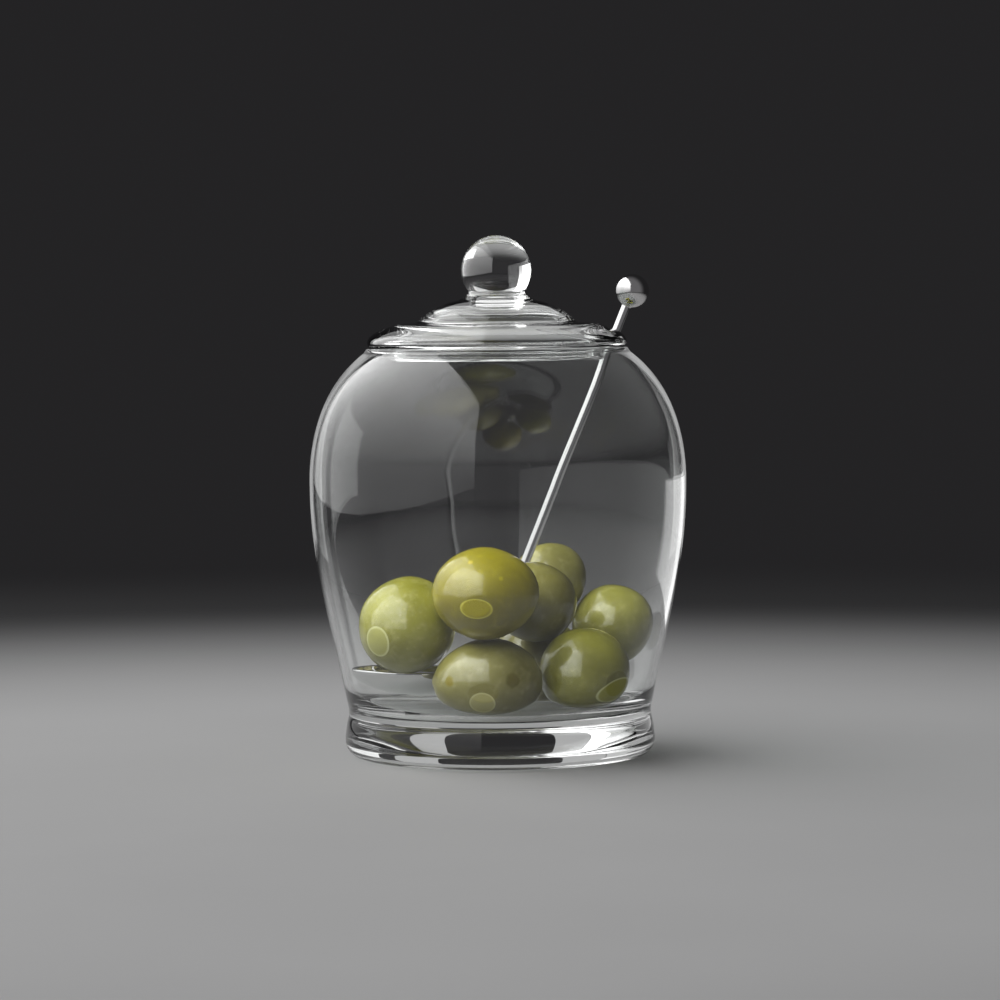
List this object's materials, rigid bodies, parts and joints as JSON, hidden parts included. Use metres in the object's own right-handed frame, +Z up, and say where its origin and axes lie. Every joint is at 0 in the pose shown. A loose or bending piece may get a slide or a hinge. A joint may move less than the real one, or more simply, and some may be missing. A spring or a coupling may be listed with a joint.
{
  "type": "olive jar",
  "caption": "Clear glass jar with a knobbed glass lid, a polished steel olive spoon leaning in the lid's notch, and green olives inside.",
  "frame": {"origin": "middle of the jar's foot, on the table", "axes": "+Z up along the jar's axis, front towards -Y, the spoon's ball towards +X"},
  "size_m": [0.101, 0.1008, 0.1391],
  "materials": {
    "clear_glass": "clear, smooth",
    "polished_steel": "polished to a mirror",
    "olive_skin": "green olive skin, wet and softly glossy"
  },
  "bodies": {
    "root": {"jar": "clear_glass", "lid": "clear_glass", "spoon": "polished_steel", "olive_1": "olive_skin", "olive_2": "olive_skin", "olive_3": "olive_skin", "olive_4": "olive_skin", "olive_5": "olive_skin", "olive_6": "olive_skin", "olive_7": "olive_skin", "olive_8": "olive_skin", "olive_9": "olive_skin"}
  },
  "joints": []
}
